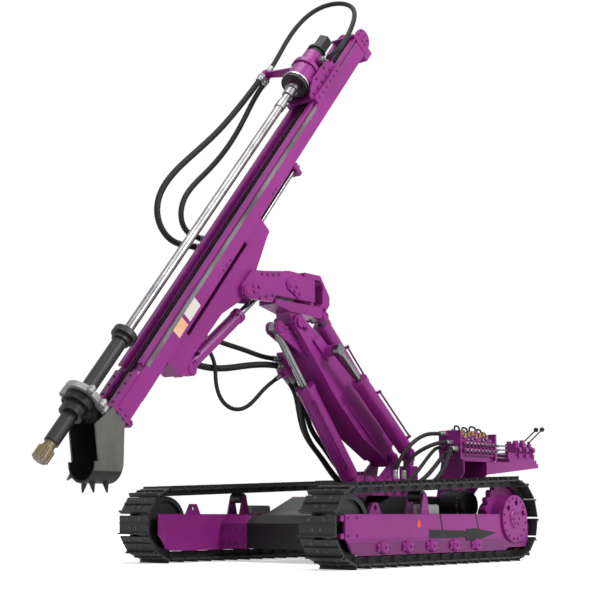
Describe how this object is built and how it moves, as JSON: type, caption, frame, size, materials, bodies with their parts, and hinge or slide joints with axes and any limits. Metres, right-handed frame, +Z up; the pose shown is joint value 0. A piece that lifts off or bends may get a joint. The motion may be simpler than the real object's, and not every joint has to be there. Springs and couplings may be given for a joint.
{
  "type": "crawler drilling rig",
  "caption": "Tracked down-the-hole drilling rig with a swinging boom, knuckle arm and sliding drill mast.",
  "frame": {"origin": "on the ground, at the middle of the overall length and width", "axes": "+X forward, +Y to the machine's left, +Z up"},
  "size_m": [5.8012, 2.35, 5.2148],
  "materials": {
    "paint": "glossy purple machine paint",
    "track_steel": "dark worn steel",
    "black": "black paint",
    "chrome": "hard chrome rod",
    "steel": "bare steel",
    "bit_metal": "bronze-coloured bit",
    "hose": "black hydraulic hose"
  },
  "bodies": {
    "carrier": {"main_frame": "paint", "track_frame_left": "paint", "track_frame_right": "paint", "track_left": "track_steel", "track_right": "track_steel", "idler_left": "black", "idler_right": "black", "sprocket_left": "paint", "sprocket_right": "paint", "rollers_left": "black", "rollers_right": "black", "pedestal": "paint", "valve_bank": "paint", "pilot_pipes": "steel", "pilot_block": "paint", "pilot_levers": "black", "power_block": "paint", "control_hose_1": "hose", "control_hose_2": "hose"},
    "boom_post": {"boom_post": "paint"},
    "boom": {"boom": "paint", "boom_hose_1": "hose", "boom_hose_2": "hose", "boom_hose_3": "hose"},
    "lift_barrel": {"lift_barrel": "paint"},
    "lift_rod": {"lift_rod": "chrome"},
    "side_knuckle": {"side_knuckle": "paint"},
    "side_barrel": {"side_barrel": "paint"},
    "side_rod": {"side_rod": "chrome"},
    "tilt_barrel": {"tilt_barrel": "paint"},
    "tilt_rod": {"tilt_rod": "chrome"},
    "yoke": {"yoke": "paint"},
    "arm": {"arm": "paint"},
    "cradle": {"cradle": "paint", "slide_barrel": "paint", "tilt_hose_thick": "hose", "tilt_hose_upper": "hose", "tilt_hose_loop": "hose"},
    "dump_barrel": {"dump_barrel": "paint"},
    "dump_rod": {"dump_rod": "chrome"},
    "mast": {"mast": "paint", "slide_rod": "chrome", "mast_flange": "paint", "centralizer": "steel", "guide_housing": "black", "foot": "black", "mast_cap": "paint", "feed_chain": "black", "hose_block": "black", "guide_bush": "steel", "feed_hose_outer": "hose", "feed_hose_inner": "hose"},
    "head": {"carriage": "paint", "head_case": "paint", "head_motor": "black", "head_hose": "hose"},
    "drill_string": {"drill_rod": "steel", "hammer": "black", "bit": "bit_metal"}
  },
  "joints": [
    {"name": "boom_swing", "type": "hinge", "parent": "carrier", "child": "boom_post", "pos_m": [-0.95657, 0, 0.605], "axis": [0, 0, 1], "range_deg": [-18, 18]},
    {"name": "boom_lift", "type": "hinge", "parent": "boom_post", "child": "boom", "pos_m": [-1.09657, 0, 0.9], "axis": [0, -1, 0], "range_deg": [-15, 25], "deforming": ["boom_hose_1", "boom_hose_2", "boom_hose_3"]},
    {"name": "yoke_tilt", "type": "hinge", "parent": "boom", "child": "yoke", "pos_m": [0.24343, 0, 2.02], "axis": [0, -1, 0], "range_deg": [-30, 2], "deforming": ["tilt_hose_thick", "tilt_hose_upper", "tilt_hose_loop"]},
    {"name": "arm_swing", "type": "hinge", "parent": "yoke", "child": "arm", "pos_m": [0.05343, 0, 2.29], "axis": [0, 0, -1], "range_deg": [-25, 25], "deforming": ["tilt_hose_thick", "tilt_hose_upper", "tilt_hose_loop"]},
    {"name": "mast_tilt", "type": "hinge", "parent": "arm", "child": "cradle", "pos_m": [0.91343, 0, 2.2], "axis": [0, 1, 0], "range_deg": [-20, 45], "deforming": ["tilt_hose_thick", "tilt_hose_upper", "tilt_hose_loop"]},
    {"name": "mast_slide", "type": "slide", "parent": "cradle", "child": "mast", "axis": [-0.6177, 0, 0.7864], "range_m": [-0.65, 0.35]},
    {"name": "head_feed", "type": "slide", "parent": "mast", "child": "head", "axis": [-0.6177, 0, 0.7864], "range_m": [-2.7, 0], "deforming": ["feed_hose_outer", "feed_hose_inner"]},
    {"name": "drill_spin", "type": "hinge", "parent": "head", "child": "drill_string", "pos_m": [0.18242, 0, 4.17254], "axis": [-0.6177, 0, 0.7864], "continuous": true},
    {"name": "lift_barrel_turn", "type": "hinge", "parent": "boom_post", "child": "lift_barrel", "pos_m": [-0.61657, 0, 0.69], "axis": [0, -1, 0], "range_deg": [-16.22, 26.7]},
    {"name": "lift_rod_slide", "type": "slide", "parent": "lift_barrel", "child": "lift_rod", "axis": [0.6336, 0, 0.7737], "range_m": [-0.13701, 0.22635]},
    {"name": "tilt_barrel_turn", "type": "hinge", "parent": "boom", "child": "tilt_barrel", "pos_m": [-0.82757, 0, 1.451], "axis": [0, -1, 0], "range_deg": [-0.74, 4.08]},
    {"name": "tilt_rod_slide", "type": "slide", "parent": "tilt_barrel", "child": "tilt_rod", "axis": [0.7195, 0, 0.6945], "range_m": [-0.01584, 0.19554]},
    {"name": "dump_barrel_turn", "type": "hinge", "parent": "cradle", "child": "dump_barrel", "pos_m": [1.49243, 0, 1.51], "axis": [0, -1, 0], "range_deg": [-5.47, 11.68]},
    {"name": "dump_rod_slide", "type": "slide", "parent": "dump_barrel", "child": "dump_rod", "axis": [-0.7712, 0, 0.6365], "range_m": [-0.17723, 0.08044]},
    {"name": "side_knuckle_turn", "type": "hinge", "parent": "carrier", "child": "side_knuckle", "pos_m": [-1.10857, 0.27, 0.95], "axis": [0, 0, 1], "range_deg": [-15.83, 15.83]},
    {"name": "side_barrel_turn", "type": "hinge", "parent": "side_knuckle", "child": "side_barrel", "pos_m": [-1.10857, 0.27, 0.95], "axis": [0, -1, 0], "range_deg": [-15.82, 26.04]},
    {"name": "side_rod_slide", "type": "slide", "parent": "side_barrel", "child": "side_rod", "axis": [0.7627, 0, 0.6468], "range_m": [-0.06713, 0.06713]}
  ],
  "couplings": [
    {"joint": "lift_barrel_turn", "follows": "boom_lift", "ratio": 1.0481},
    {"joint": "lift_rod_slide", "follows": "boom_lift", "m_per_rad": 0.51187},
    {"joint": "tilt_barrel_turn", "follows": "yoke_tilt", "ratio": -0.11919},
    {"joint": "tilt_rod_slide", "follows": "yoke_tilt", "m_per_rad": -0.36772},
    {"joint": "dump_barrel_turn", "follows": "mast_tilt", "ratio": 0.24833},
    {"joint": "dump_rod_slide", "follows": "mast_tilt", "m_per_rad": -0.22184},
    {"joint": "side_knuckle_turn", "follows": "boom_swing", "ratio": 0.85157},
    {"joint": "side_barrel_turn", "follows": "boom_lift", "ratio": 1.0215},
    {"joint": "side_rod_slide", "follows": "boom_swing", "m_per_rad": -0.20414}
  ]
}
